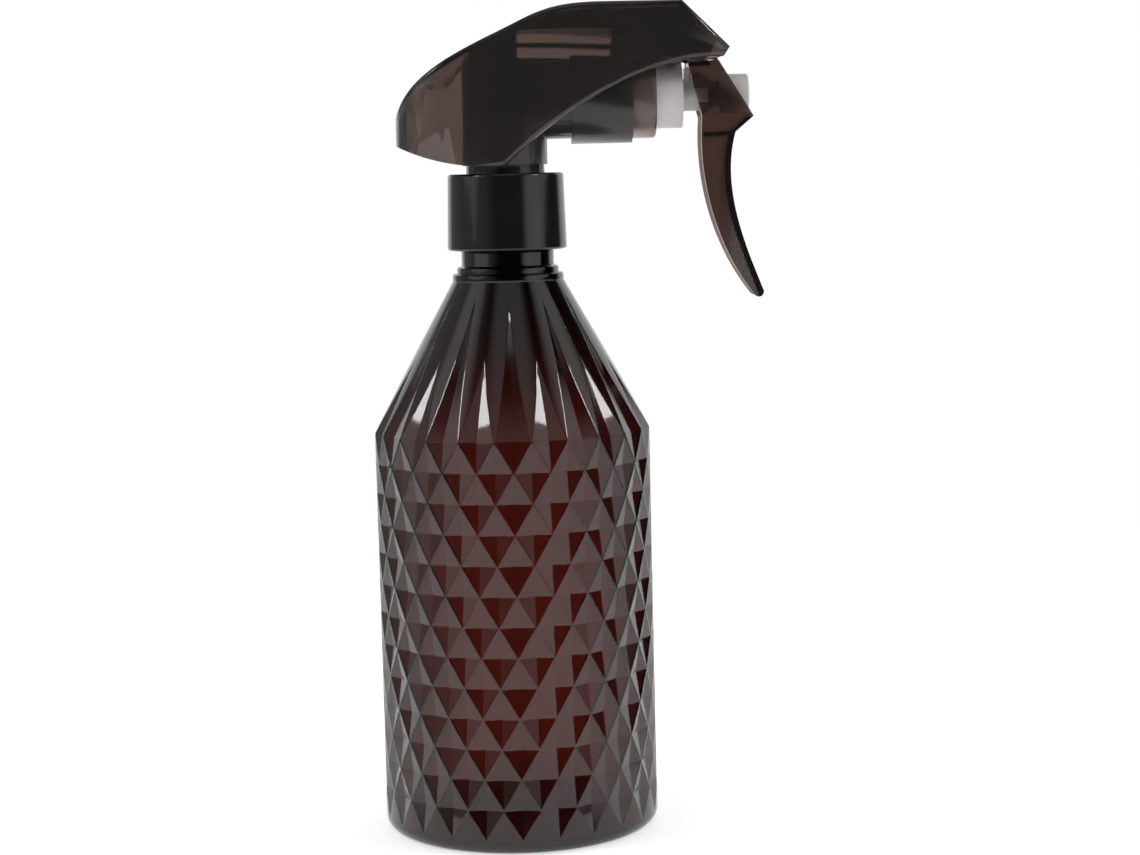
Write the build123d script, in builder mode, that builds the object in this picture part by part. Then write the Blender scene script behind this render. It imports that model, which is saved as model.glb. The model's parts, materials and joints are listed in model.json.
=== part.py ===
from build123d import *
import math
import os

# A half-litre faceted bottle with a fine-mist trigger sprayer on a 28/410 neck.
# Millimetres. +Z is up, the origin is on the bottle's axis at the plane it stands on,
# and +X is the side that the trigger and the nozzle point to.

os.makedirs("parts", exist_ok=True)

# ---------------------------------------------------------------- clearances
fit_gap = 0.3               # between pieces that pass without touching
running_gap = 0.05          # between a pin or a piston and its bore

# ---------------------------------------------------------------- bottle body
facet_count = 24            # diamonds in one ring
facet_step = 360 / facet_count
vertex_radius = 38.0        # radius of the corners where four diamonds meet
diamond_depth = 1.2         # each diamond is a hollow this much deeper at its centre
row_pitch = 8.22            # height from one ring of corners to the next
row_count = 12              # rings of diamonds below the shoulder edge
base_corner = 4.0           # radius between the body and the base
base_gap = 0.05             # plain wall between the base corner and the lowest corners
corner_cover = 0.05         # the plain bands stand this much proud of the corners
wall = 1.2
floor_wall = 1.6
push_up = 3.0               # height of the domed hollow under the base
foot_width = 9.0            # body radius less the inner edge of the ring it stands on

# ---------------------------------------------------------------- neck, 28/410
neck_radius = 12.7          # E = 25.4
neck_wall = 1.8
neck_height = 20.8          # step ring to the sealing lip
neck_round = 0.5
step_proud = 1.3            # the small ring under the neck, outside the neck's wall
step_height = 1.8
bead_proud = 2.6            # the larger bead under it
bead_height = 2.2
bead_round = 0.3

# ---------------------------------------------------------------- shoulder
cone_height = 40.9          # shoulder edge to the foot of the bead
cone_wall = 2.6             # level thickness of the cone, flutes not counted
long_flute = 37.3           # height of the long flutes above the shoulder edge
short_flute = 20.4
flute_overrun = 1.06        # a flute's cutter runs past its tip, so that it comes out cleanly

# ---------------------------------------------------------------- screw thread
thread_pitch = 25.4 / 6
thread_depth = 1.0          # T = 27.4
thread_turns = 1.5
thread_foot = 2.3           # width at the root
thread_crest = 1.2
thread_drop = 9.2           # lowest end of the neck thread, below the sealing lip
thread_embed = 0.15         # how deep a thread is rooted in its wall
thread_gap = 0.4            # radial room between the thread crests and the other wall

# ---------------------------------------------------------------- collar and gasket
collar_wall = 1.75          # at the top
collar_taper = 0.55         # the foot is this much larger in radius
collar_height = 20.8
collar_plate = 1.6
collar_round = 0.8
collar_turns = 1.25
gasket_thickness = 1.4
gasket_lap = 1.7            # the gasket's hole is this much inside the neck's bore

# ---------------------------------------------------------------- sprayer body
flange_thickness = 1.3
flange_play = 0.1           # lets the collar turn on the flange
flange_lap = 2.0            # the flange stands this far out under the collar's plate
flange_trim = 0.1           # the flange's edge lies this far inside the gasket's edge
shank_rise = 3.9            # flange to the foot of the riser
riser_step = 0.9            # the riser stands this far outside the shank
riser_front = 4.0           # the upper riser stops here, behind the arm
plug_depth = 5.0
pump_height = 21.7          # flange top to the pump's axis
pump_bore = 9.6
cylinder_wall = 2.9
arm_radius = 11.0
cylinder_start = 18.3
cylinder_end = 34.8
chamber_start = 13.0
passage_radius = 1.8
vent_radius = 0.6
vent_setback = 5.2          # the vent's hole, behind the cylinder's mouth
vent_side = 1.7             # the vent's drop, outside the valve seat
cap_seat_wall = 1.3         # the cap's spigot, outside the bore
cap_seat_depth = 3.0
cap_step = 0.45             # the cap's ring stands this far outside its spigot
cap_length = 6.5
cap_chamfer = 0.6

# ---------------------------------------------------------------- trigger bracket
pivot_setback = 3.4         # pivot in front of the piston's face
pivot_rise = 13.0           # pivot above the pump's axis
pivot_radius = 1.5
bracket_root = 5.3          # how far the arms reach back over the cylinder
bracket_gap = 0.4           # between the trigger's side and the bracket's arm
bracket_thickness = 1.6
bracket_lap = 1.05          # the arms' underside, below the top of the cylinder's cap
bracket_top = 17.4

# ---------------------------------------------------------------- inlet
tube_bore = 1.8
tube_wall = 0.7
tube_lift = 3.5             # tube end above the bottle's inside floor
tube_socket = 10.0          # how far the tube goes into its seat
seat_wall = 3.1             # valve seat, outside the tube
seat_roof = 3.0             # thickness of the seat over the tube's end
seat_throat = 1.44
ball_radius = 2.0
ball_sink = 0.55            # height of the ball's centre above the seat, in ball radii
ball_room = 0.6             # cage, outside the ball

# ---------------------------------------------------------------- piston group
skirt_gap = 0.8             # the piston's skirt runs this far inside the bore, on its seals
skirt_wall = 1.4
groove_depth = 0.8
piston_length = 27.6
piston_show = 7.3           # the piston's face, in front of the cylinder's cap at rest
piston_face = 1.8
hub_wall = 0.8              # hub, outside the stem
hub_length = 5.6
seal_start_gap = 1.2        # the first seal, in front of the piston's back edge
seal_width = 2.6
seal_gap = 1.6
seal_waist = 1.0            # width of the hollow round a seal's middle
seal_waist_depth = 0.6
stem_bore = 2.4
stem_wall = 1.9
stem_seat = 3.1             # how far the stem goes into the piston
spigot_step = 0.8           # the nozzle's spigot is this much smaller in radius than the stem
spigot_reach = 8.0          # foot of the spigot, in front of the piston's face
spigot_length = 4.4
fin_reach = 0.8
fin_height = 7.2            # the guide fin's top above the pump's axis
fin_thickness = 1.3
fin_half = 1.5
outlet_ball_radius = 1.5
outlet_ball_sink = 0.6      # the ball's centre in front of its seat, in ball radii
outlet_hole = 1.1
nozzle_radius = 5.5
nozzle_back = 1.8           # the nozzle's back edge, in front of the spigot's foot
nozzle_length = 8.4
nozzle_round = 0.7
nozzle_face = 1.8
orifice_radius = 0.35
cone_mouth = 1.8            # flare around the orifice
cone_depth = 0.6
core_radius = 2.2
core_start_gap = 1.5        # the swirl core, in front of the spigot's foot
core_flat = 0.4             # depth of the flats along the core
swirl_radius = 0.8
swirl_depth = 0.6

# ---------------------------------------------------------------- springs
return_coil_gap = 1.1       # centre of the wire, inside the piston's skirt
return_wire = 0.45
return_turns = 9
outlet_coil = 1.7
outlet_wire = 0.2
outlet_turns = 7

# ---------------------------------------------------------------- trigger
trigger_half = 7.8
trigger_wall = 1.6
trigger_drop = 55.0         # tip below the pump's axis
ear_wall = 2.0              # ear, outside the pivot's hole
trunnion_lead = 1.7         # trunnion in front of the pivot
trunnion_radius = 1.5
slot_play = 0.1
slot_below = 0.7            # room for the trunnion to sink in the slot as the trigger turns
slot_above = 0.2
boss_lag = 1.0              # boss behind the pivot
boss_radius = 6.2
boss_rise = 0.9
web_thickness = 1.2         # the two cross webs between the trigger's sides
upper_web_rise = 7.6
lower_web_drop = 11.4

# ---------------------------------------------------------------- shroud
shroud_wall = 1.5
shroud_room = 0.8           # between the cylinder and the shroud's side
shroud_nose_room = 0.2      # between the bracket and the shroud's side at the nose
shroud_back = -29.6
shroud_reach = 9.2          # tip in front of the pivot
shroud_rise = 25.1          # roof above the pump's axis
shroud_brow = 12.6          # foot of the sloping front, above the pump's axis
shroud_slope = 12.8         # length of the sloping front, along the pump's axis
shroud_round = 1.4

# Sizes that follow from the ones above.
centre_radius = vertex_radius - diamond_depth
body_radius = vertex_radius + corner_cover
inner_radius = centre_radius - wall
foot_radius = vertex_radius - foot_width
neck_bore = neck_radius - neck_wall
step_radius = neck_radius + step_proud
bead_radius = neck_radius + bead_proud
cone_top_radius = bead_radius - 0.1
thread_radius = neck_radius + thread_depth
collar_bore = thread_radius + thread_gap
collar_top_radius = collar_bore + collar_wall
collar_foot_radius = collar_top_radius + collar_taper
gasket_hole = neck_bore - gasket_lap
flange_radius = neck_radius - flange_trim
shank_radius = flange_radius - flange_lap + flange_trim
riser_radius = shank_radius + riser_step
cylinder_radius = pump_bore + cylinder_wall
cap_seat_radius = pump_bore + cap_seat_wall
cap_radius = cap_seat_radius + cap_step
cap_end = cylinder_end + cap_length
tube_radius = tube_bore + tube_wall
seat_radius = tube_radius + seat_wall
ball_cage = ball_radius + ball_room
skirt_radius = pump_bore - skirt_gap
skirt_bore = skirt_radius - skirt_wall
groove_radius = skirt_radius - groove_depth
piston_front = cap_end + piston_show
piston_back = piston_front - piston_length
stem_radius = stem_bore + stem_wall
hub_radius = stem_radius + hub_wall
spigot_radius = stem_radius - spigot_step
spigot_start = piston_front + spigot_reach
stem_end = spigot_start + spigot_length
nozzle_start = spigot_start + nozzle_back
nozzle_front = nozzle_start + nozzle_length
core_start = spigot_start + core_start_gap
return_coil = skirt_bore - return_coil_gap
pivot_x = piston_front + pivot_setback
trunnion_x = pivot_x + trunnion_lead
trunnion_reach = trigger_half
boss_x = pivot_x - boss_lag
ear_radius = pivot_radius + ear_wall
bracket_start = cylinder_end - bracket_root
bracket_foot = cap_radius - bracket_lap
bracket_inner = trigger_half + bracket_gap
bracket_outer = bracket_inner + bracket_thickness
shroud_half = max(cylinder_radius, riser_radius) + shroud_room + shroud_wall
shroud_tip = pivot_x + shroud_reach
shroud_tip_half = bracket_outer + shroud_nose_room + shroud_wall

# Heights that follow from the sizes above.
lowest_corner_z = base_corner + base_gap
last_row_z = lowest_corner_z + row_pitch
shoulder_z = last_row_z + row_count * row_pitch
bead_z = shoulder_z + cone_height
step_z = bead_z + bead_height
neck_z = step_z + step_height
lip_z = neck_z + neck_height
gasket_top_z = lip_z + gasket_thickness
flange_top_z = gasket_top_z + flange_thickness
collar_top_z = flange_top_z + flange_play + collar_plate
collar_foot_z = collar_top_z - collar_height
shank_top_z = flange_top_z + shank_rise
pump_z = flange_top_z + pump_height
pivot_z = pump_z + pivot_rise
roof_z = pump_z + shroud_rise
brow_z = pump_z + shroud_brow
tip_z = pump_z - trigger_drop


def around(radius, angle, z):
    """The point at this radius and height, turned by an angle from the -Y side."""
    turn = math.radians(angle)
    return Vector(radius * math.sin(turn), -radius * math.cos(turn), z)


def solid_of(corner_lists):
    """The closed solid whose flat faces have these corners."""
    faces = [Face(Wire.make_polygon(corners)) for corners in corner_lists]
    return Solid(Shell(faces))


def flute(angle, root_z, tip_radius, tip_z):
    """The wedge that a pointed flute takes out of a round wall.

    It is one diamond wide at its root and narrows to a point on the wall at its tip.
    """
    root = around(centre_radius, angle, root_z)
    left = root + (around(vertex_radius, angle - facet_step / 2, root_z) - root) * 2
    right = root + (around(vertex_radius, angle + facet_step / 2, root_z) - root) * 2
    tip = root + (around(tip_radius, angle, tip_z) - root) * flute_overrun
    return solid_of([(root, left, right), (root, left, tip), (root, right, tip), (left, right, tip)])


def diamond_wall():
    """The faceted wall as a solid core: every diamond is four flat triangles around a low centre."""
    faces = []
    rims = {0: [], row_count: []}
    for row in range(row_count + 1):
        z = shoulder_z - row * row_pitch
        for number in range(facet_count):
            angle = (number + 0.5 * (row % 2)) * facet_step
            centre = around(centre_radius, angle, z)
            left = around(vertex_radius, angle - facet_step / 2, z)
            right = around(vertex_radius, angle + facet_step / 2, z)
            if row > 0:
                top = around(vertex_radius, angle, z + row_pitch)
                faces += [(left, centre, top), (centre, right, top)]
            if row < row_count:
                bottom = around(vertex_radius, angle, z - row_pitch)
                faces += [(left, bottom, centre), (centre, bottom, right)]
            if row in rims:
                rims[row] += [left, centre]
    faces += [rims[0], rims[row_count]]
    return solid_of(faces)


def x_rod(radius, x_from, x_to, mode=Mode.ADD):
    """A round bar along the pump's axis, joined to or taken from the part being built."""
    with Locations(((x_from + x_to) / 2, 0, pump_z)):
        Cylinder(radius, x_to - x_from, rotation=(0, 90, 0), mode=mode)


def z_rod(radius, z_from, z_to, x=0, mode=Mode.ADD):
    """A round upright bar, joined to or taken from the part being built."""
    with Locations((x, 0, (z_from + z_to) / 2)):
        Cylinder(radius, z_to - z_from, mode=mode)


def y_rod(radius, x, z, y_from, y_to, mode=Mode.ADD):
    """A round bar across the sprayer, joined to or taken from the part being built."""
    with Locations((x, (y_from + y_to) / 2, z)):
        Cylinder(radius, y_to - y_from, rotation=(90, 0, 0), mode=mode)


def block(x_span, y_span, z_span, mode=Mode.ADD):
    """A box between two values on each axis, joined to or taken from the part being built."""
    spans = (x_span, y_span, z_span)
    with Locations(tuple(sum(span) / 2 for span in spans)):
        Box(*[span[1] - span[0] for span in spans], mode=mode)


def thread_ridge(root_radius, crest_radius, foot_z, turns):
    """A helical ridge rooted in the wall at root_radius, its crest at crest_radius."""
    inward = 1 if crest_radius > root_radius else -1
    with BuildPart() as ridge:
        with BuildLine():
            path = Helix(thread_pitch, thread_pitch * turns, root_radius, center=(0, 0, foot_z))
        with BuildSketch(Plane(origin=path @ 0, x_dir=(inward, 0, 0), z_dir=path % 0)):
            height = abs(crest_radius - root_radius)
            Polygon(
                (-thread_embed, -thread_foot / 2),
                (height, -thread_crest / 2),
                (height, thread_crest / 2),
                (-thread_embed, thread_foot / 2),
                align=None,
            )
        sweep(path=path, is_frenet=True)
    return ridge.part


def coil(coil_radius, wire_radius, x_from, x_to, turns):
    """A helical spring along the pump's axis, its ends touching both planes."""
    start, length = x_from + wire_radius, x_to - x_from - 2 * wire_radius
    with BuildPart() as spring:
        with BuildLine():
            path = Helix(length / turns, length, coil_radius, center=(start, 0, pump_z), direction=(1, 0, 0))
        with BuildSketch(Plane(origin=path @ 0, z_dir=path % 0)):
            Circle(wire_radius)
        sweep(path=path, is_frenet=True)
    return spring.part


# ================================================================ bottle
with BuildPart() as base_band:
    with BuildSketch(Plane.XZ):
        with BuildLine():
            Line((0, last_row_z), (0, push_up))
            ThreePointArc((0, push_up), (foot_radius / 2, push_up * 0.75), (foot_radius, 0))
            Line((foot_radius, 0), (body_radius - base_corner, 0))
            RadiusArc((body_radius - base_corner, 0), (body_radius, base_corner), -base_corner)
            Line((body_radius, base_corner), (body_radius, last_row_z))
            Line((body_radius, last_row_z), (0, last_row_z))
        make_face()
    revolve(axis=Axis.Z)
    for number in range(facet_count):
        cutter = flute(number * facet_step, last_row_z, vertex_radius, lowest_corner_z)
        add(cutter, mode=Mode.SUBTRACT)

with BuildPart() as shoulder:
    with BuildSketch(Plane.XZ):
        with BuildLine():
            Polyline(
                (0, shoulder_z),
                (body_radius, shoulder_z),
                (cone_top_radius, bead_z),
                (bead_radius, bead_z),
                (bead_radius, bead_z + bead_height / 2),
            )
            ThreePointArc(
                (bead_radius, bead_z + bead_height / 2),
                (bead_radius - bead_round, step_z - bead_round),
                (step_radius, step_z),
            )
            Line((step_radius, step_z), (step_radius, step_z + step_height / 2))
            ThreePointArc(
                (step_radius, step_z + step_height / 2),
                (step_radius - bead_round, neck_z - bead_round),
                (neck_radius, neck_z),
            )
            Polyline(
                (neck_radius, neck_z),
                (neck_radius, lip_z - neck_round),
                (neck_radius - neck_round, lip_z),
                (0, lip_z),
                (0, shoulder_z),
            )
        make_face()
    revolve(axis=Axis.Z)
    for number in range(facet_count):
        rise = short_flute if number % 2 else long_flute
        tip_radius = body_radius + (cone_top_radius - body_radius) * rise / cone_height
        cutter = flute(number * facet_step, shoulder_z, tip_radius, shoulder_z + rise)
        add(cutter, mode=Mode.SUBTRACT)

neck_thread = thread_ridge(neck_radius, thread_radius, lip_z - thread_drop, thread_turns)
with BuildPart() as bottle:
    add(diamond_wall())
    add(base_band.part)
    add(shoulder.part)
    add(neck_thread)
    with BuildSketch(Plane.XZ):
        with BuildLine():
            floor_z = floor_wall
            Line((0, lip_z), (0, push_up + floor_z))
            ThreePointArc(
                (0, push_up + floor_z),
                (foot_radius / 2, push_up * 0.75 + floor_z),
                (foot_radius, floor_z),
            )
            Line((foot_radius, floor_z), (inner_radius - base_corner, floor_z))
            RadiusArc(
                (inner_radius - base_corner, floor_z),
                (inner_radius, floor_z + base_corner),
                -base_corner,
            )
            Polyline(
                (inner_radius, floor_z + base_corner),
                (inner_radius, shoulder_z),
                (cone_top_radius - cone_wall, bead_z),
                (neck_bore, step_z),
                (neck_bore, lip_z),
                (0, lip_z),
            )
        make_face()
    revolve(axis=Axis.Z, mode=Mode.SUBTRACT)
bottle.part.label = "bottle"
export_step(bottle.part, "parts/bottle.step")


# ================================================================ collar and gasket
collar_thread_z = lip_z - thread_drop - thread_pitch / 2
collar_thread = thread_ridge(collar_bore, neck_radius + thread_gap, collar_thread_z, collar_turns)
with BuildPart() as collar:
    with BuildSketch(Plane.XZ):
        with BuildLine():
            Polyline(
                (collar_bore, collar_foot_z),
                (collar_foot_radius, collar_foot_z),
                (collar_top_radius, collar_top_z),
                (shank_radius + fit_gap, collar_top_z),
                (shank_radius + fit_gap, collar_top_z - collar_plate),
                (collar_bore, collar_top_z - collar_plate),
                close=True,
            )
        make_face()
    revolve(axis=Axis.Z)
    rims = collar.edges().filter_by(GeomType.CIRCLE).filter_by(lambda rim: rim.radius > collar_bore + 1)
    fillet(rims, collar_round)
    add(collar_thread)
collar.part.label = "collar"
export_step(collar.part, "parts/collar.step")

with BuildPart() as gasket:
    z_rod(neck_radius, lip_z, gasket_top_z)
    z_rod(gasket_hole, lip_z, gasket_top_z, mode=Mode.SUBTRACT)
gasket.part.label = "gasket"
export_step(gasket.part, "parts/gasket.step")


# ================================================================ shroud outline
roof_front = shroud_tip - shroud_slope
arch_end = riser_front + 22.0
roof_knots = (              # points that the roof's curve passes, and the way it faces there
    (shroud_back + 8.4, pump_z + 6.7, 133),
    (shroud_back + 31.6, pump_z + 19.3, 115),
)


def shroud_side(inset, tall):
    """The shroud seen from the side; the tall one runs on down, so that it opens the underside."""
    front_x = shroud_tip - inset
    slope = (roof_z - brow_z) / (shroud_tip - roof_front)
    bend = math.tan(math.atan(slope) / 2)
    roof_end = (roof_front - inset * bend, roof_z - inset)
    front_top = (front_x, roof_end[1] - slope * (front_x - roof_end[0]))
    back_low = (shroud_back + inset, pump_z - 12)
    knots = [
        (x - inset * math.cos(math.radians(facing)), z - inset * math.sin(math.radians(facing)))
        for x, z, facing in roof_knots
    ]
    with BuildSketch(Plane.XZ) as outline:
        with BuildLine():
            top = Spline(
                (shroud_back + inset, pump_z - 5),
                *knots,
                (arch_end, roof_z - inset),
                tangents=[(0.3, 1), (1, 0)],
            )
            Line(back_low, top @ 0)
            Polyline(top @ 1, roof_end, front_top)
            if tall:
                Polyline(
                    front_top,
                    (front_x, pump_z - 40),
                    (shroud_back + inset, pump_z - 40),
                    back_low,
                )
            else:
                edge = Spline(
                    (shroud_tip - 1.8, brow_z - 2.7),
                    (cap_end + 0.2, pump_z + 7.3),
                    (25.5, pump_z + 0.4),
                    (8.2, pump_z - 10.9),
                    (0.4, shank_top_z),
                )
                Line(front_top, edge @ 0)
                Line(edge @ 1, (-9.6, shank_top_z))
                ThreePointArc((-9.6, shank_top_z), (-20, pump_z - 15.8), back_low)
        make_face()
    return outline.sketch


def shroud_plan(inset):
    """The shroud seen from above: round at the back, narrowing to the front."""
    with BuildSketch(Plane.XY.offset(pump_z - 45)) as outline:
        with BuildLine():
            half, nose_half = shroud_half - inset, shroud_tip_half - inset
            back, nose = shroud_back + inset, shroud_tip + 2 - inset
            ThreePointArc((back + half, half), (back, 0), (back + half, -half))
            Polyline(
                (back + half, -half),
                (bracket_start + 0.5, -half),
                (nose, -nose_half),
                (nose, nose_half),
                (bracket_start + 0.5, half),
                (back + half, half),
            )
        make_face()
    return outline.sketch


def shroud_block(inset, tall):
    """The solid that both outlines share."""
    with BuildPart() as body:
        extrude(shroud_side(inset, tall), amount=shroud_half + 5, both=True)
        extrude(shroud_plan(inset), amount=90, mode=Mode.INTERSECT)
    return body.part


shroud_outside = shroud_block(0, False)
shroud_hollow = shroud_block(shroud_wall, True)
with BuildPart() as shroud:
    add(shroud_outside)
    ridge = shroud.edges().filter_by(lambda edge: edge.center().Z > pump_z + 3 and edge.center().X < 56)
    ridge = ridge.filter_by(lambda edge: abs(edge.center().Y) > 3)
    fillet(ridge, shroud_round)
    add(shroud_hollow, mode=Mode.SUBTRACT)
shroud.part.label = "shroud"
export_step(shroud.part, "parts/shroud.step")


# ================================================================ sprayer body
riser_room = shroud_block(shroud_wall + fit_gap, True)
with BuildPart() as riser_top:
    z_rod(riser_radius, pump_z - 2, roof_z)
    block((riser_front, 20), (-20, 20), (pump_z - 5, roof_z + 5), mode=Mode.SUBTRACT)
    add(riser_room, mode=Mode.INTERSECT)

with BuildPart() as pump_body:
    z_rod(flange_radius, gasket_top_z, flange_top_z)
    z_rod(shank_radius, gasket_top_z, shank_top_z + 0.5)
    z_rod(riser_radius, shank_top_z, pump_z)
    z_rod(gasket_hole - fit_gap, lip_z - plug_depth, gasket_top_z)
    add(riser_top.part)
    x_rod(arm_radius, 0, cylinder_start)
    x_rod(cylinder_radius, cylinder_start, cylinder_end)
    for side in (-1, 1):
        arm_y = sorted((side * bracket_inner, side * bracket_outer))
        block((bracket_start, pivot_x), arm_y, (pump_z + bracket_foot, pump_z + bracket_top))
        y_rod(bracket_top - pivot_rise, pivot_x, pivot_z, *arm_y)
        block((bracket_start, cylinder_end), arm_y, (pump_z, pump_z + bracket_foot))
    x_rod(pump_bore, chamber_start, cylinder_end, mode=Mode.SUBTRACT)
    x_rod(cap_seat_radius, cylinder_end - cap_seat_depth, cylinder_end, mode=Mode.SUBTRACT)
    x_rod(passage_radius, -passage_radius, chamber_start, mode=Mode.SUBTRACT)
    z_rod(passage_radius, gasket_top_z, pump_z, mode=Mode.SUBTRACT)
    z_rod(ball_cage, gasket_top_z, gasket_top_z + 2 * ball_cage, mode=Mode.SUBTRACT)
    z_rod(seat_radius, lip_z - plug_depth, gasket_top_z, mode=Mode.SUBTRACT)
    vent_z = pump_z - (pump_bore + arm_radius) / 2
    vent_x = cylinder_end - cap_seat_depth - vent_setback
    vent_drop_x = seat_radius + vent_side
    with Locations(((vent_x + vent_drop_x) / 2, 0, vent_z)):
        Cylinder(
            vent_radius, vent_x - vent_drop_x + vent_radius, rotation=(0, 90, 0), mode=Mode.SUBTRACT
        )
    z_rod(vent_radius, vent_z, pump_z, x=vent_x, mode=Mode.SUBTRACT)
    z_rod(vent_radius, lip_z - plug_depth, vent_z, x=vent_drop_x, mode=Mode.SUBTRACT)
    for side in (-1, 1):
        y_rod(pivot_radius, pivot_x, pivot_z, *sorted((0, side * shroud_half)), mode=Mode.SUBTRACT)
pump_body.part.label = "pump_body"
export_step(pump_body.part, "parts/pump_body.step")

with BuildPart() as cylinder_cap:
    x_rod(cap_radius, cylinder_end, cap_end)
    chamfer(cylinder_cap.edges().filter_by(GeomType.CIRCLE).sort_by(Axis.X)[-1], cap_chamfer)
    x_rod(cap_seat_radius - running_gap, cylinder_end - cap_seat_depth + flange_play, cylinder_end)
    x_rod(skirt_radius + fit_gap, cylinder_end - cap_seat_depth, cap_end, mode=Mode.SUBTRACT)
cylinder_cap.part.label = "cylinder_cap"
export_step(cylinder_cap.part, "parts/cylinder_cap.step")

with BuildPart() as pivot_pin:
    y_rod(pivot_radius, pivot_x, pivot_z, -bracket_outer, bracket_outer)
pivot_pin.part.label = "pivot_pin"
export_step(pivot_pin.part, "parts/pivot_pin.step")


# ================================================================ inlet valve and dip tube
seat_z = gasket_top_z - seat_roof - tube_socket
ball_z = gasket_top_z + ball_radius * ball_sink
with BuildPart() as valve_seat:
    z_rod(seat_radius - running_gap, seat_z, gasket_top_z)
    z_rod(tube_radius + running_gap, seat_z, gasket_top_z - seat_roof, mode=Mode.SUBTRACT)
    z_rod(seat_throat, gasket_top_z - seat_roof, gasket_top_z, mode=Mode.SUBTRACT)
    with Locations((0, 0, ball_z)):
        Sphere(ball_radius, mode=Mode.SUBTRACT)
valve_seat.part.label = "valve_seat"
export_step(valve_seat.part, "parts/valve_seat.step")

with BuildPart() as inlet_ball:
    with Locations((0, 0, ball_z)):
        Sphere(ball_radius)
inlet_ball.part.label = "inlet_ball"
export_step(inlet_ball.part, "parts/inlet_ball.step")

tube_foot_z = push_up + floor_wall + tube_lift - 0.4
with BuildPart() as dip_tube:
    z_rod(tube_radius, tube_foot_z, gasket_top_z - seat_roof)
    z_rod(tube_bore, tube_foot_z, gasket_top_z - seat_roof, mode=Mode.SUBTRACT)
dip_tube.part.label = "dip_tube"
export_step(dip_tube.part, "parts/dip_tube.step")


# ================================================================ piston group
seal_start = piston_back + seal_start_gap
second_seal = seal_start + seal_width + seal_gap
with BuildPart() as piston:
    x_rod(skirt_radius, piston_back, piston_front)
    x_rod(skirt_bore, piston_back, piston_front - piston_face, mode=Mode.SUBTRACT)
    x_rod(hub_radius, piston_front - hub_length, piston_front)
    x_rod(stem_radius + running_gap, piston_front - stem_seat, piston_front, mode=Mode.SUBTRACT)
    x_rod(outlet_hole, piston_front - hub_length, piston_front, mode=Mode.SUBTRACT)
    for start in (seal_start, second_seal):
        with BuildSketch(Plane.YZ.offset(start)):
            with Locations((0, pump_z)):
                Circle(pump_bore)
                Circle(groove_radius, mode=Mode.SUBTRACT)
        extrude(amount=seal_width, mode=Mode.SUBTRACT)
    outlet_ball_x = piston_front - stem_seat + outlet_ball_radius * outlet_ball_sink
    with Locations((outlet_ball_x, 0, pump_z)):
        Sphere(outlet_ball_radius, mode=Mode.SUBTRACT)
piston.part.label = "piston"
export_step(piston.part, "parts/piston.step")

for name, start in (("piston_seal", seal_start), ("vent_seal", second_seal)):
    with BuildPart() as seal:
        x_rod(pump_bore - running_gap, start, start + seal_width)
        x_rod(groove_radius, start, start + seal_width, mode=Mode.SUBTRACT)
        middle = start + seal_width / 2
        with BuildSketch(Plane.YZ.offset(middle - seal_waist / 2)):
            with Locations((0, pump_z)):
                Circle(pump_bore)
                Circle(pump_bore - seal_waist_depth, mode=Mode.SUBTRACT)
        extrude(amount=seal_waist, mode=Mode.SUBTRACT)
    seal.part.label = name
    export_step(seal.part, f"parts/{name}.step")

with BuildPart() as outlet_ball:
    with Locations((outlet_ball_x, 0, pump_z)):
        Sphere(outlet_ball_radius)
outlet_ball.part.label = "outlet_ball"
export_step(outlet_ball.part, "parts/outlet_ball.step")

with BuildPart() as stem:
    x_rod(stem_radius, piston_front - stem_seat, spigot_start)
    x_rod(spigot_radius, spigot_start, stem_end)
    y_rod(trunnion_radius, trunnion_x, pump_z, -trunnion_reach, trunnion_reach)
    block(
        (piston_front + fin_reach, piston_front + fin_reach + fin_thickness),
        (-fin_half, fin_half),
        (pump_z + stem_radius - 1, pump_z + fin_height),
    )
    x_rod(stem_bore, piston_front - stem_seat, stem_end, mode=Mode.SUBTRACT)
stem.part.label = "stem"
export_step(stem.part, "parts/stem.step")

outlet_coil_wire = coil(
    outlet_coil, outlet_wire, outlet_ball_x + outlet_ball_radius, core_start, outlet_turns
)
with BuildPart() as outlet_spring:
    add(outlet_coil_wire)
outlet_spring.part.label = "outlet_spring"
export_step(outlet_spring.part, "parts/outlet_spring.step")

with BuildPart() as swirl_core:
    x_rod(core_radius, core_start, nozzle_front - nozzle_face)
    for side in (-1, 1):
        flat_y = sorted((side * (core_radius - core_flat), side * (core_radius + 1)))
        block((core_start, nozzle_front), flat_y, (pump_z - 5, pump_z + 5), mode=Mode.SUBTRACT)
    x_rod(swirl_radius, nozzle_front - nozzle_face - swirl_depth, nozzle_front, mode=Mode.SUBTRACT)
swirl_core.part.label = "swirl_core"
export_step(swirl_core.part, "parts/swirl_core.step")

with BuildPart() as nozzle_cap:
    x_rod(nozzle_radius, nozzle_start, nozzle_front)
    fillet(nozzle_cap.edges().filter_by(GeomType.CIRCLE).sort_by(Axis.X)[-1], nozzle_round)
    x_rod(spigot_radius + running_gap, nozzle_start, stem_end, mode=Mode.SUBTRACT)
    x_rod(core_radius + fit_gap, stem_end, nozzle_front - nozzle_face, mode=Mode.SUBTRACT)
    x_rod(orifice_radius, nozzle_front - nozzle_face, nozzle_front, mode=Mode.SUBTRACT)
    with Locations(((nozzle_front - cone_depth / 2, 0, pump_z))):
        Cone(cone_mouth / 2, cone_mouth, cone_depth, rotation=(0, 90, 0), mode=Mode.SUBTRACT)
nozzle_cap.part.label = "nozzle_cap"
export_step(nozzle_cap.part, "parts/nozzle_cap.step")

return_coil_wire = coil(
    return_coil, return_wire, chamber_start, piston_front - piston_face, return_turns
)
with BuildPart() as return_spring:
    add(return_coil_wire)
return_spring.part.label = "return_spring"
export_step(return_spring.part, "parts/return_spring.step")


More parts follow.
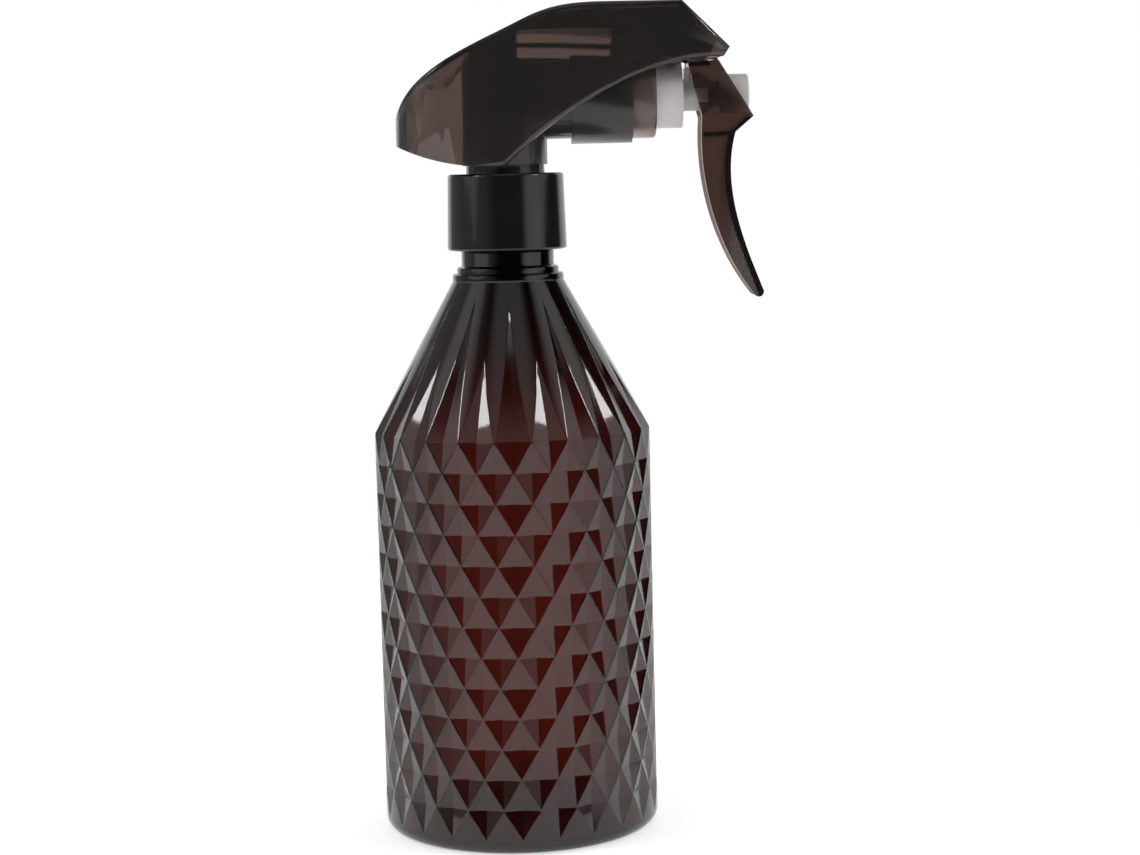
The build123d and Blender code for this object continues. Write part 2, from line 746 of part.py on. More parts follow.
# ================================================================ trigger
def trigger_side(shift):
    """The trigger seen from the side, moved back by shift."""
    x = pivot_x - shift
    nose = (x + 15.6, pump_z - 6.1)
    with BuildSketch(Plane.XZ) as outline:
        with BuildLine():
            Line((x - 2.0, pump_z + 8.3), (x + 6.2, pump_z + 9.3))
            Line((x + 6.2, pump_z + 9.3), nose)
            face = Spline(
                (x + 10.6, pump_z - 10.3),
                (x + 9.2, pump_z - 19.0),
                (x + 11.6, tip_z + 18.4),
                (x + 17.4, tip_z + 2.0),
            )
            Line(nose, face @ 0)
            back = Spline(
                (x + 15.0, tip_z + 0.6),
                (x + 7.3, tip_z + 13.8),
                (x + 2.4, pump_z - 24.6),
                (x + 1.4, pump_z - 9.0),
            )
            ThreePointArc(face @ 1, (x + 17.0, tip_z + 0.1), back @ 0)
            Polyline(back @ 1, (x + 1.6, pump_z - 6.2), (x - 2.0, pump_z + 8.3))
        make_face()
    return outline.sketch


inner_half = trigger_half - trigger_wall
trigger_outline = trigger_side(0)
trigger_hollow = trigger_side(trigger_wall)
with BuildPart() as trigger:
    extrude(trigger_outline, amount=trigger_half, both=True)
    extrude(trigger_hollow, amount=inner_half, both=True, mode=Mode.SUBTRACT)
    between = (-inner_half, inner_half)
    upper_web = (pump_z + upper_web_rise, pump_z + upper_web_rise + web_thickness)
    lower_web = (pump_z - lower_web_drop, pump_z - lower_web_drop + web_thickness)
    block((pivot_x - 4, pivot_x + 18), between, (pump_z - boss_radius - 0.2, pivot_z), mode=Mode.SUBTRACT)
    block((pivot_x - 1.6, pivot_x + 4), between, upper_web)
    block((pivot_x + 2, pivot_x + 10), between, lower_web)
    for side in (-1, 1):
        ear_y = sorted((side * inner_half, side * trigger_half))
        y_rod(ear_radius, pivot_x, pivot_z, *ear_y)
        block((pivot_x - 1.8, pivot_x + ear_radius), ear_y, (pump_z + 8, pivot_z))
        boss_y = sorted((side * trigger_half, side * (trigger_half + boss_rise)))
        with BuildSketch(Plane.XZ.offset(-boss_y[0])) as boss:
            with Locations((boss_x, pump_z)):
                Circle(boss_radius)
            add(trigger_outline, mode=Mode.INTERSECT)
        extrude(boss.sketch, amount=-boss_rise)
        slot_y = sorted((side * (inner_half - 1), side * (trunnion_reach + fit_gap)))
        block(
            (boss_x - boss_radius, trunnion_x + trunnion_radius + slot_play),
            slot_y,
            (pump_z - trunnion_radius - slot_below, pump_z + trunnion_radius + slot_above),
            mode=Mode.SUBTRACT,
        )
        y_rod(pivot_radius + running_gap, pivot_x, pivot_z, *sorted((0, side * bracket_outer)), mode=Mode.SUBTRACT)
trigger.part.label = "trigger"
export_step(trigger.part, "parts/trigger.step")
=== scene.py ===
import json
import math
import bmesh
import bpy
from mathutils import Matrix, Vector
from mathutils.bvhtree import BVHTree


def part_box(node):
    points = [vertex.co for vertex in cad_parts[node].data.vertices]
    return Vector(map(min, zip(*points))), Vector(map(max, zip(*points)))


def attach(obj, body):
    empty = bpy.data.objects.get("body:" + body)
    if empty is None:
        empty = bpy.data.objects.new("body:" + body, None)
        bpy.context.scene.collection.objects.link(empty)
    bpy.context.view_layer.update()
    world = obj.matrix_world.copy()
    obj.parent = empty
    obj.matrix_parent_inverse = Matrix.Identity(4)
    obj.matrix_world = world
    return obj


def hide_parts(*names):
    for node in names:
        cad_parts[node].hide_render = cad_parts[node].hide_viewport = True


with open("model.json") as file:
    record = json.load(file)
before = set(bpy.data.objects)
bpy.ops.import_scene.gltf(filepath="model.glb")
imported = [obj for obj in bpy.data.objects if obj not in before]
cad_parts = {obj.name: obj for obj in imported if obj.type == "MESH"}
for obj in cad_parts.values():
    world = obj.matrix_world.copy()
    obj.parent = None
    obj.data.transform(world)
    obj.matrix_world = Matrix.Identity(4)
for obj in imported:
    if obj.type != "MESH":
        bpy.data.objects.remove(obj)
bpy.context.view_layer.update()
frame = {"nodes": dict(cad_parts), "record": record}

# A faceted amber bottle with a fine-mist trigger sprayer. Sizes are millimetres, turned to metres by MM.
MM = 0.001
TURN = 2 * math.pi

# ---------------------------------------------------------------- places taken from the frame
lip_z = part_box("bottle")[1].z / MM
cap_low, cap_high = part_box("cylinder_cap")
pump_z = (cap_low.z + cap_high.z) / 2 / MM

# ---------------------------------------------------------------- bottle sizes
facet_count = 24
facet_step = TURN / facet_count
vertex_radius = 38.0
diamond_depth = 1.2
row_pitch = 8.22
row_count = 12
base_corner = 4.0
corner_cover = 0.05
push_up = 3.0
floor_wall = 1.6
strip_columns = 4
foot_radius = 29.0
wall = 1.2
cone_height = 40.9
cone_top_radius = 15.2
long_flute = 37.3
short_flute = 20.4
neck_height = 20.8
step_height = 1.8
bead_height = 2.2
bead_radius = 15.3
step_radius = 14.0
neck_radius = 12.7
neck_bore = 10.9
thread_radius = 13.7
thread_pitch = 25.4 / 6
thread_turns = 1.5
thread_drop = 9.2
thread_embed = 0.15
thread_foot = 2.3
thread_crest = 1.2
thread_steps = 48            # sections in one turn of the thread
ridge_round = 0.2            # how far a ridge of the facets is rounded
ridge_least_angle = 7.0      # degrees; flatter edges get no rounding
facet_smooth_angle = 4.5     # degrees; sharper edges stay crisp among the facets
plain_smooth_angle = 30.0    # and elsewhere
thread_smooth_angle = 25.0
body_tint_top = 0.16         # metres above the floor where the colour of the wall has changed fully
neck_z = lip_z - neck_height
step_z = neck_z - step_height
bead_z = step_z - bead_height
shoulder_z = bead_z - cone_height
last_row_z = shoulder_z - row_count * row_pitch

# ---------------------------------------------------------------- the web under the shroud's roof
web_half = 1.0
roof_cover = 1.55
least_rib = 0.3
web_columns = (3.0, 8.0, 13.0, 18.0, 23.0, 29.5, 32.0, 34.8)
web_rises = (10.5, 11.5, 14.2, 15.4, 18.4)
web_windows = (
    ((3.0, 29.5), (11.5, 14.2)),
    ((3.0, 29.5), (15.4, 18.4)),
)
nose_columns = (34.8, 38.0, 42.0, 46.0, 50.0, 54.0, 57.5)
nose_rises = (10.8, 14.0)
rib_half = 9.0
rib_columns = (-9.0, -6.0, -3.0, 0.0, 3.0, 8.0, 13.0, 18.0, 23.0, 29.5, 34.8, 38.0, 42.0, 46.0, 48.0, 52.0)
rib_rises = (18.4,)


# ================================================================ helpers
def linear(code):
    """An sRGB hex colour as linear red, green, blue and alpha."""
    parts = [int(code[i:i + 2], 16) / 255 for i in (0, 2, 4)]
    return (*[p / 12.92 if p <= 0.04045 else ((p + 0.055) / 1.055) ** 2.4 for p in parts], 1.0)


def add_node(tree, kind, inputs=None, stops=(), **settings):
    """Adds a node; inputs maps a socket's name or number to a value or to another node's output.

    stops are the (position, hex colour) pairs of a colour ramp.
    """
    node = tree.nodes.new(kind)
    for name, value in settings.items():
        setattr(node, name, value)
    for key, value in (inputs or {}).items():
        if isinstance(value, bpy.types.NodeSocket):
            tree.links.new(value, node.inputs[key])
        else:
            node.inputs[key].default_value = value
    if stops:
        while len(node.color_ramp.elements) < len(stops):
            node.color_ramp.elements.new(0.5)
        for element, (position, code) in zip(node.color_ramp.elements, stops):
            element.position = position
            element.color = linear(code)
    return node


def new_material(name):
    material = bpy.data.materials.new(name)
    material.use_nodes = True
    material.node_tree.nodes.clear()
    return material, material.node_tree


def finish_material(tree, shader, depth_code=None, density=0.0):
    """Joins the shader to the output, with the colour that light takes on inside the wall if there is one."""
    ends = {"Surface": shader.outputs[0]}
    if depth_code:
        depth = add_node(tree, "ShaderNodeVolumeAbsorption", {"Color": linear(depth_code), "Density": density})
        ends["Volume"] = depth.outputs[0]
    add_node(tree, "ShaderNodeOutputMaterial", ends)


def soft_pattern(tree, size_mm, stretch=(1, 1, 1)):
    """A soft random pattern whose features are about size_mm across."""
    place = add_node(tree, "ShaderNodeTexCoord")
    turned = add_node(tree, "ShaderNodeMapping", {"Vector": place.outputs["Object"], "Scale": stretch})
    return add_node(
        tree, "ShaderNodeTexNoise",
        {"Vector": turned.outputs[0], "Scale": 1 / (size_mm * MM), "Detail": 3.0, "Roughness": 0.5},
    ).outputs["Fac"]


def to_object(mesh_maker, name):
    mesh = bpy.data.meshes.new(name)
    mesh_maker.to_mesh(mesh)
    mesh_maker.free()
    piece = bpy.data.objects.new(name, mesh)
    bpy.context.scene.collection.objects.link(piece)
    return piece


def dress(piece, material):
    piece.data.materials.clear()
    piece.data.materials.append(material)


def ride_on(piece, node):
    """The piece moves with the node's body and has its finish."""
    dress(piece, finishes[node_slots[node]])
    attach(piece, node_bodies[node])


# ================================================================ materials
def tinted_pet():
    """Blown PET, tinted amber: glossy outside, deep red-brown where light comes through both walls.

    The tint sits in the wall itself, so the wall is darker where it is seen edge on. A darker shade lies over
    the neck and the cone and fades out down the shoulder.
    """
    material, tree = new_material("tinted_pet")
    place = add_node(tree, "ShaderNodeTexCoord")
    height = add_node(tree, "ShaderNodeSeparateXYZ", {"Vector": place.outputs["Object"]}).outputs["Z"]
    share = add_node(tree, "ShaderNodeMapRange", {"Value": height, "From Max": body_tint_top})
    wander = add_node(
        tree, "ShaderNodeMapRange", {"Value": soft_pattern(tree, 30.0), "To Min": -0.04, "To Max": 0.04},
    )
    level = add_node(
        tree, "ShaderNodeMath", {0: share.outputs["Result"], 1: wander.outputs["Result"]}, operation="ADD",
    )
    tint = add_node(tree, "ShaderNodeValToRGB", {"Fac": level.outputs[0]}, [
        (0.0, "d8c0ac"), (0.14, "dcc4b0"), (0.34, "e0cab8"), (0.66, "dcc6ba"), (0.80, "a08c88"), (0.93, "605a58"),
    ])
    flow = add_node(tree, "ShaderNodeBump", {
        "Height": soft_pattern(tree, 14.0, (1, 1, 0.4)), "Strength": 0.05, "Distance": 0.3 * MM,
    })
    inner = add_node(tree, "ShaderNodeAttribute", attribute_name="inner_wall")
    shine = add_node(
        tree, "ShaderNodeMapRange", {"Value": inner.outputs["Fac"], "To Min": 0.05, "To Max": 0.28},
    )
    shader = add_node(tree, "ShaderNodeBsdfPrincipled", {
        "Base Color": tint.outputs["Color"], "Roughness": shine.outputs["Result"], "IOR": 1.57,
        "Transmission Weight": 1.0, "Specular IOR Level": 0.36, "Normal": flow.outputs["Normal"],
    })
    finish_material(tree, shader, "b85430", 1950.0)
    return material


def moulded_black():
    """Injection-moulded polypropylene in black: glossy, with a faint flow ripple."""
    material, tree = new_material("moulded_black_polypropylene")
    tone = add_node(
        tree, "ShaderNodeValToRGB", {"Fac": soft_pattern(tree, 12.0)}, [(0.3, "181716"), (0.7, "1e1c1b")],
    )
    ripple = add_node(tree, "ShaderNodeBump", {
        "Height": soft_pattern(tree, 6.0, (1, 1, 0.3)), "Strength": 0.08, "Distance": 0.2 * MM,
    })
    shine = add_node(
        tree, "ShaderNodeMapRange", {"Value": soft_pattern(tree, 3.0), "To Min": 0.06, "To Max": 0.12},
    )
    shader = add_node(tree, "ShaderNodeBsdfPrincipled", {
        "Base Color": tone.outputs["Color"], "Roughness": shine.outputs["Result"], "IOR": 1.49,
        "Normal": ripple.outputs["Normal"],
    })
    finish_material(tree, shader)
    return material


def smoked_clear(name, thin_code, thick_code, depth_code, density, clear, roughness):
    """Smoke-brown see-through plastic: brown where light comes through a wall, black where it is seen edge on."""
    material, tree = new_material(name)
    tone = add_node(
        tree, "ShaderNodeValToRGB", {"Fac": soft_pattern(tree, 18.0)}, [(0.3, thick_code), (0.7, thin_code)],
    )
    ripple = add_node(
        tree, "ShaderNodeBump", {"Height": soft_pattern(tree, 9.0), "Strength": 0.05, "Distance": 0.2 * MM},
    )
    shader = add_node(tree, "ShaderNodeBsdfPrincipled", {
        "Base Color": tone.outputs["Color"], "Roughness": roughness, "IOR": 1.5, "Transmission Weight": clear,
        "Normal": ripple.outputs["Normal"],
    })
    finish_material(tree, shader, depth_code, density)
    return material


def moulded(name, dark_code, light_code, roughness, clear=0.0, ior=1.5):
    """Moulded plastic with a fine grain from the tool."""
    material, tree = new_material(name)
    tone = add_node(
        tree, "ShaderNodeValToRGB", {"Fac": soft_pattern(tree, 10.0)}, [(0.3, dark_code), (0.7, light_code)],
    )
    grain = add_node(
        tree, "ShaderNodeBump", {"Height": soft_pattern(tree, 0.8), "Strength": 0.10, "Distance": 0.05 * MM},
    )
    shine = add_node(tree, "ShaderNodeMapRange", {
        "Value": soft_pattern(tree, 4.0), "To Min": roughness - 0.04, "To Max": roughness + 0.04,
    })
    shader = add_node(tree, "ShaderNodeBsdfPrincipled", {
        "Base Color": tone.outputs["Color"], "Roughness": shine.outputs["Result"], "IOR": ior,
        "Transmission Weight": clear, "Normal": grain.outputs["Normal"],
    })
    finish_material(tree, shader)
    return material


def drawn_steel():
    """Stainless spring wire: bright, with fine draw marks."""
    material, tree = new_material("drawn_stainless_wire")
    marks = soft_pattern(tree, 0.3, (0.2, 1, 1))
    shine = add_node(tree, "ShaderNodeMapRange", {"Value": marks, "To Min": 0.18, "To Max": 0.34})
    tone = add_node(tree, "ShaderNodeValToRGB", {"Fac": marks}, [(0.3, "a4a4a6"), (0.7, "c2c2c4")])
    scratches = add_node(tree, "ShaderNodeBump", {"Height": marks, "Strength": 0.1, "Distance": 0.02 * MM})
    shader = add_node(tree, "ShaderNodeBsdfPrincipled", {
        "Base Color": tone.outputs["Color"], "Roughness": shine.outputs["Result"], "Metallic": 1.0,
        "Normal": scratches.outputs["Normal"],
    })
    finish_material(tree, shader)
    return material


def pale_floor():
    """A white paper sweep, which glows a little so that it stays white under the dim room."""
    material, tree = new_material("white_paper_sweep")
    tone = add_node(
        tree, "ShaderNodeValToRGB", {"Fac": soft_pattern(tree, 3.0)}, [(0.3, "f6f6f6"), (0.7, "fafafa")],
    )
    shader = add_node(tree, "ShaderNodeBsdfPrincipled", {
        "Base Color": tone.outputs["Color"], "Roughness": 0.9, "Specular IOR Level": 0.1,
        "Emission Color": linear("ffffff"), "Emission Strength": 0.60,
    })
    finish_material(tree, shader)
    return material


amber = tinted_pet()
black = moulded_black()
smoke = smoked_clear("smoked_polystyrene", "f0e8e4", "e8e0dc", "a5928c", 1100.0, 0.975, 0.06)
smoke_cap = smoked_clear("smoked_cap_polypropylene", "e4dad6", "dcd2ce", "c8b8b2", 420.0, 0.95, 0.22)
trigger_brown = smoked_clear("smoked_trigger_polypropylene", "e6dad4", "ded2cc", "b09a92", 1350.0, 0.985, 0.12)
dark_body = moulded("moulded_smoke_black_polypropylene", "2a2726", "322f2e", 0.24)
milky = moulded("natural_polypropylene", "f6f0ee", "fdfbfa", 0.42, clear=0.35)
# The tube bends light far less than the plastic does (about 1.5), at which it would show as a dark stripe.
tube_milky = moulded("natural_tube_polyethylene", "f2eae6", "faf4f0", 0.2, clear=1.0, ior=1.08)
soft_seal = moulded("natural_elastomer", "cfcac0", "dad5cc", 0.5)
wire = drawn_steel()

finishes = {
    "amber_bottle": amber, "black_collar": black, "smoke_shroud": smoke, "smoke_body": dark_body,
    "smoke_cap": smoke_cap, "smoke_trigger": trigger_brown, "white_piston": milky, "smoke_nozzle": milky,
    "natural_tube": tube_milky, "seal_rubber": soft_seal, "spring_steel": wire, "steel_ball": wire,
}
node_slots = {part["node"]: part["material_slot"] for part in frame["record"]["subparts"]}
node_bodies = {
    node: body for body, nodes in frame["record"]["behaviour"]["bodies"].items() for node in nodes
}
for node, piece in frame["nodes"].items():
    dress(piece, finishes[node_slots[node]])


# ================================================================ pieces
def refined(node, width_mm, segments=2, angle=35):
    """The node's own shape with its corners rounded a little, as moulded corners are."""
    maker = bmesh.new()
    maker.from_mesh(frame["nodes"][node].data)
    bmesh.ops.remove_doubles(maker, verts=maker.verts, dist=0.004 * MM)
    bmesh.ops.dissolve_limit(maker, angle_limit=math.radians(1.0), verts=maker.verts, edges=maker.edges)
    piece = to_object(maker, node + "_moulded")
    for polygon in piece.data.polygons:
        polygon.use_smooth = True
    if width_mm:
        rounding = piece.modifiers.new("rounding", "BEVEL")
        rounding.width = width_mm * MM
        rounding.segments = segments
        rounding.limit_method = "ANGLE"
        rounding.angle_limit = math.radians(angle)
        rounding.harden_normals = True
    else:
        piece.data.set_sharp_from_angle(angle=math.radians(angle))
    stand_in(piece, node)


def stand_in(piece, node):
    """Puts the piece in the place of the node: same body, same finish."""
    ride_on(piece, node)
    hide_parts(node)


def facet_rows(inset):
    """Rows up the faceted wall, from the base corner to the top of the cone, with the wall moved in by inset.

    Each row is (height, smooth radius, groove radii, how open the even and odd grooves are). Diamond rows
    have None for the openings.
    """
    body = vertex_radius + corner_cover - inset
    corner, centre = vertex_radius - inset, vertex_radius - diamond_depth - inset
    slope = (cone_top_radius - vertex_radius) / cone_height
    rows = []
    for share in (0.0, 0.25, 0.5, 0.75):
        radius = corner + (centre - corner) * share
        rows.append((last_row_z - row_pitch * (1 - share), body, (radius, radius), (share, share)))
    for row in range(row_count, -1, -1):
        rows.append((shoulder_z - row * row_pitch, corner, (centre, centre), None))
    for level in (3.0, 7.0, 11.0, 15.5, short_flute, 25.0, 29.0, 33.0, long_flute, cone_height):
        openings = [max(0.0, 1 - level / rise) for rise in (long_flute, short_flute)]
        radii = [
            centre * share + (corner + slope * rise) * (1 - share)
            for share, rise in zip(openings, (long_flute, short_flute))
        ]
        rows.append((shoulder_z + level, body + slope * level, radii, openings))
    return rows


def plain_rows(points):
    return [(z, radius, (radius, radius), (0.0, 0.0)) for z, radius in points]


def bottle_rows():
    """From the middle of the underside, up the outside, over the lip, down the inside to the floor's middle."""
    body = vertex_radius + corner_cover
    dome = [(push_up * (1 - (step / 8) ** 2), foot_radius * step / 8) for step in range(9)]
    corner_arc = [
        (base_corner * (1 - math.cos(turn)), body - base_corner * (1 - math.sin(turn)))
        for turn in [step / 12 * math.pi / 2 for step in range(12)]
    ]
    neck = [
        (bead_z + 0.12, bead_radius), (bead_z + 1.1, bead_radius), (step_z - 0.45, bead_radius - 0.12),
        (step_z - 0.12, bead_radius - 0.45), (step_z, bead_radius - 1.0), (step_z, step_radius),
        (step_z + 0.9, step_radius), (neck_z - 0.4, step_radius - 0.1), (neck_z - 0.1, step_radius - 0.4),
        (neck_z, step_radius - 0.9), (neck_z + 0.2, neck_radius + 0.1), (neck_z + 0.6, neck_radius),
        (lip_z - 0.5, neck_radius), (lip_z - 0.1, neck_radius - 0.2), (lip_z, neck_radius - 0.5),
        (lip_z, neck_bore + 0.4), (lip_z - 0.1, neck_bore + 0.1), (lip_z - 0.4, neck_bore), (step_z, neck_bore),
    ]
    inner = body - wall
    floor_arc = [
        (floor_wall + base_corner * (1 - math.cos(turn)), inner - base_corner * (1 - math.sin(turn)))
        for turn in [step / 8 * math.pi / 2 for step in range(7, -1, -1)]
    ]
    floor = [(floor_wall + z, radius) for z, radius in reversed(dome)]
    outside = plain_rows(dome + corner_arc) + facet_rows(0.0)
    inside = list(reversed(facet_rows(wall))) + plain_rows(floor_arc + floor)
    return outside + plain_rows(neck) + inside


def column_place(column, radii, openings):
    """The angle and the groove's radius (or None on the smooth wall) of a column in a row."""
    diamond, place = divmod(column, strip_columns + 2)
    here, after = openings[diamond % 2], openings[(diamond + 1) % 2]
    middle = diamond * facet_step
    if place == 0:
        return middle, radii[diamond % 2]
    left = middle + facet_step / 2 * here
    right = middle + facet_step - facet_step / 2 * after
    return left + (right - left) * (place - 1) / strip_columns, None


def amber_bottle():
    """The bottle as one closed wall: a grid wrapped round the axis.

    Columns come in groups of six, one for each diamond: the groove's root, then its edge, the smooth strip and
    the next groove's edge. Where a groove or a strip has no width its columns merge.
    """
    rows = bottle_rows()
    maker = bmesh.new()
    columns, last = (strip_columns + 2) * facet_count, len(rows) - 1
    bmesh.ops.create_grid(maker, x_segments=columns, y_segments=last, size=0.5)
    peak = maker.verts.layers.int.new("peak")
    inner_wall = maker.verts.layers.float.new("inner_wall")
    lip_row = max(range(len(rows)), key=lambda number: rows[number][0])
    for vert in maker.verts:
        column, number = round((vert.co.x + 0.5) * columns), round((vert.co.y + 0.5) * last)
        z, radius, radii, openings = rows[number]
        vert[inner_wall] = float(number > lip_row + 1)
        if openings is None:
            diamond, place = divmod(column, strip_columns + 2)
            angle = (diamond + (0.5 if place else 0)) * facet_step
            row = round((shoulder_z - z) / row_pitch)
            at_peak = bool(place) != bool(row % 2)
            vert[peak] = 1 + int(at_peak)
            radius = radius if at_peak else radii[0]
        else:
            angle, groove = column_place(column, radii, openings)
            radius = radius if groove is None or openings[column // (strip_columns + 2) % 2] == 0 else groove
        vert.co = Vector((math.sin(angle) * radius, -math.cos(angle) * radius, z)) * MM
    bmesh.ops.remove_doubles(maker, verts=maker.verts, dist=0.02 * MM)
    for face in list(maker.faces):
        peaks = [v for v in face.verts if v[peak] == 2]
        if len(face.verts) == 4 and len(peaks) == 2 and all(v[peak] for v in face.verts):
            bmesh.utils.face_split(face, *peaks)
    bmesh.ops.recalc_face_normals(maker, faces=maker.faces)
    ridges = [
        edge for edge in maker.edges
        if edge.is_manifold and edge.calc_face_angle_signed(0) > math.radians(ridge_least_angle)
        and min(v.co.z for v in edge.verts) > (base_corner - 0.3) * MM
        and max(v.co.z for v in edge.verts) < (shoulder_z + long_flute + 0.1) * MM
    ]
    bmesh.ops.bevel(
        maker, geom=ridges, offset=ridge_round * MM, offset_type="OFFSET", affect="EDGES", segments=2, profile=0.5,
        material=-1, clamp_overlap=True,
    )
    for edge in maker.edges:
        high = max(v.co.z for v in edge.verts) / MM
        low = min(v.co.z for v in edge.verts) / MM
        faceted = low > base_corner and high < shoulder_z + long_flute
        smooth_angle = facet_smooth_angle if faceted else plain_smooth_angle
        edge.smooth = not edge.is_manifold or edge.calc_face_angle() < math.radians(smooth_angle)
    for face in maker.faces:
        face.smooth = True
    stand_in(to_object(maker, "amber_bottle"), "bottle")


def neck_thread():
    """The raised helical ridge round the neck, a flat-topped section carried round and up by one spin."""
    maker = bmesh.new()
    steps = round(thread_turns * thread_steps)
    foot_z = lip_z - thread_drop
    section = [
        (neck_radius - thread_embed, -thread_foot / 2), (thread_radius, -thread_crest / 2),
        (thread_radius, thread_crest / 2), (neck_radius - thread_embed, thread_foot / 2),
    ]
    corners = [maker.verts.new(Vector((radius, 0, foot_z + rise)) * MM) for radius, rise in section]
    maker.faces.new(corners)
    bmesh.ops.spin(
        maker, geom=maker.verts[:] + maker.edges[:] + maker.faces[:], cent=(0, 0, 0), axis=(0, 0, 1),
        dvec=(0, 0, thread_pitch * thread_turns / steps * MM), angle=TURN * thread_turns, steps=steps,
    )
    bmesh.ops.recalc_face_normals(maker, faces=maker.faces)
    piece = to_object(maker, "neck_thread")
    ride_on(piece, "bottle")
    piece.data.shade_smooth()
    piece.data.set_sharp_from_angle(angle=math.radians(thread_smooth_angle))


def roof_above(x):
    """The height of the shroud's inside at this x, on the middle line."""
    return shroud_surface.ray_cast(Vector((x * MM, 0, 1)), Vector((0, 0, -1)))[0].z / MM - roof_cover


def upright_plate(name, columns, rises, half, windows=()):
    """A plate in the sprayer's middle plane, its rows at these rises above the pump and its top at the roof.

    Rows that would pass the roof stop at it. Faces in a window are left out.
    """
    maker = bmesh.new()
    bmesh.ops.create_grid(maker, x_segments=len(columns) - 1, y_segments=len(rises), size=0.5)
    for vert in maker.verts:
        x = columns[round((vert.co.x + 0.5) * (len(columns) - 1))]
        row = round((vert.co.y + 0.5) * len(rises))
        roof = roof_above(x)
        z = roof if row == len(rises) else min(pump_z + rises[row], roof - least_rib * (len(rises) - row))
        vert.co = Vector((x, -half, z)) * MM
    open_faces = []
    for face in maker.faces:
        middle = face.calc_center_median() / MM
        for x_span, rise_span in windows:
            if x_span[0] < middle.x < x_span[1] and rise_span[0] < middle.z - pump_z < rise_span[1]:
                open_faces.append(face)
    bmesh.ops.delete(maker, geom=open_faces, context="FACES")
    grown = bmesh.ops.extrude_face_region(maker, geom=maker.faces[:], use_keep_orig=True)
    bmesh.ops.translate(
        maker, vec=(0, 2 * half * MM, 0),
        verts=[item for item in grown["geom"] if isinstance(item, bmesh.types.BMVert)],
    )
    bmesh.ops.recalc_face_normals(maker, faces=maker.faces)
    ride_on(to_object(maker, name), "pump_body")


amber_bottle()
neck_thread()
shroud_mesh = bmesh.new()
shroud_mesh.from_mesh(frame["nodes"]["shroud"].data)
shroud_surface = BVHTree.FromBMesh(shroud_mesh)
shroud_mesh.free()
upright_plate("shroud_web", web_columns, web_rises, web_half, web_windows)
upright_plate("shroud_nose_web", nose_columns, nose_rises, web_half)
upright_plate("shroud_roof_rib", rib_columns, rib_rises, rib_half)
refined("trigger", 0.35, 3)
refined("pump_body", 0.2, 2)
refined("shroud", 0.15, 2, 50)
for node in ("cylinder_cap", "piston", "stem"):
    refined(node, 0.15, 2)
for node in ("collar", "nozzle_cap"):
    refined(node, 0.0)


# ================================================================ stage, lights and camera
def floor():
    """A round floor under the bottle."""
    maker = bmesh.new()
    bmesh.ops.create_circle(maker, cap_ends=True, segments=96, radius=0.6)
    piece = to_object(maker, "floor")
    dress(piece, pale_floor())


floor()


def softbox(name, direction, distance, width, height, power):
    """An area light that faces the bottle's middle."""
    light = bpy.data.lights.new(name, "AREA")
    light.shape = "RECTANGLE"
    light.size = width
    light.size_y = height
    light.energy = power
    lamp = bpy.data.objects.new(name, light)
    aim = Vector((0.01, 0, 0.13))
    lamp.location = aim + Vector(direction).normalized() * distance
    lamp.rotation_mode = "QUATERNION"
    lamp.rotation_quaternion = Vector(direction).to_track_quat("Z", "Y")
    lamp.visible_camera = False
    bpy.context.scene.collection.objects.link(lamp)


# Two small boxes that show in the facets of the short grooves and not on the plain cone.
softbox("top_right_box", (0.73, -0.29, 0.59), 1.0, 0.19, 0.20, 1.3)
softbox("top_left_box", (-0.73, -0.29, 0.59), 1.0, 0.19, 0.20, 1.3)

room_level = 0.03   # what the room gives where none of the soft lights below does
world = bpy.data.worlds.new("white_room")
world.use_nodes = True
sky = world.node_tree
sky.nodes.clear()
way = add_node(sky, "ShaderNodeTexCoord")


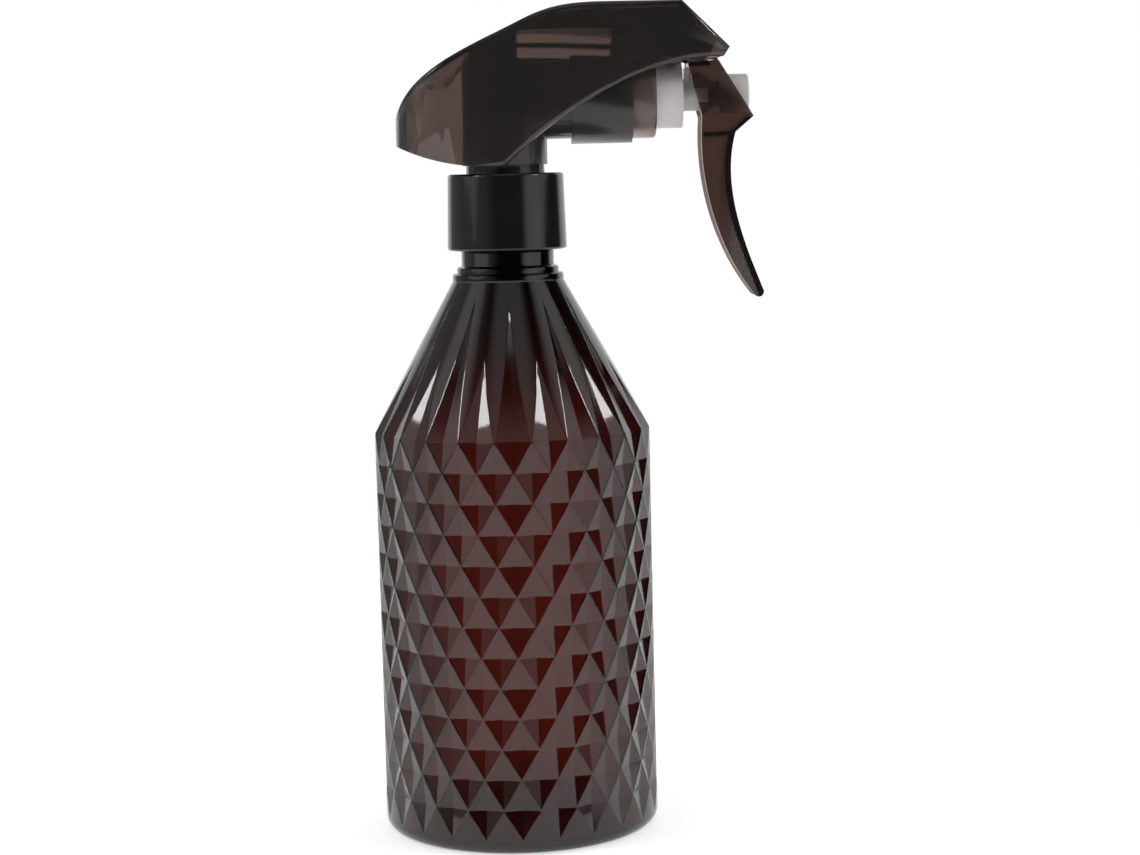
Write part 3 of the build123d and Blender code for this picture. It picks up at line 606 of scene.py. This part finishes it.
def toward(direction, low, high, strength):
    """How much of a soft light round this direction a ray meets, up to its strength."""
    along = add_node(
        sky, "ShaderNodeVectorMath", {0: way.outputs["Generated"], 1: direction}, operation="DOT_PRODUCT",
    )
    return add_node(sky, "ShaderNodeMapRange", {
        "Value": along.outputs["Value"], "From Min": low, "From Max": high, "To Max": strength,
    }, interpolation_type="SMOOTHSTEP").outputs["Result"]


lit = toward((0.096, 0.995, 0.0), 0.56, 0.76, 1.0)
for direction, low, high, strength in (
    ((0.0, 0.0, 1.0), 0.80, 0.99, 0.6),
    ((-0.862, -0.280, 0.423), 0.86, 0.94, 0.9),
    ((0.862, -0.280, 0.423), 0.86, 0.94, 0.9),
    ((0.829, -0.559, 0.0), 0.88, 0.995, 1.1),
    ((-1.0, 0.0, 0.0), 0.3, 0.8, 0.30),
    ((0.0, -0.60, 0.80), 0.90, 0.98, 0.45),
):
    more = toward(direction, low, high, strength)
    lit = add_node(sky, "ShaderNodeMath", {0: lit, 1: more}, operation="MAXIMUM").outputs[0]
room = add_node(sky, "ShaderNodeMath", {0: lit, 1: room_level}, operation="ADD").outputs[0]
seen = add_node(sky, "ShaderNodeLightPath").outputs["Is Camera Ray"]
mixed = add_node(sky, "ShaderNodeMix", {0: seen, 2: room, 3: 1.0}).outputs[0]
backdrop = add_node(sky, "ShaderNodeBackground", {"Color": linear("ffffff"), "Strength": mixed})
add_node(sky, "ShaderNodeOutputWorld", {"Surface": backdrop.outputs[0]})
scene = bpy.context.scene
scene.world = world
scene.view_settings.view_transform = "Standard"

camera_place = (15.97, -682.3, 183.5)
camera_turn, camera_dip, camera_roll = -1.36, 6.099, -1.404   # degrees
camera_data = bpy.data.cameras.new("camera")
camera_data.lens = 78.3
camera_data.sensor_width = 36
camera = bpy.data.objects.new("camera", camera_data)
turned = Matrix.Rotation(math.radians(camera_turn), 4, "Z")
place = Matrix.Translation(Vector(camera_place) * MM)
tilt = Matrix.Rotation(math.radians(90 - camera_dip), 4, "X")
roll = Matrix.Rotation(math.radians(camera_roll), 4, "Z")
camera.matrix_world = turned @ place @ tilt @ roll
scene.collection.objects.link(camera)
scene.camera = camera
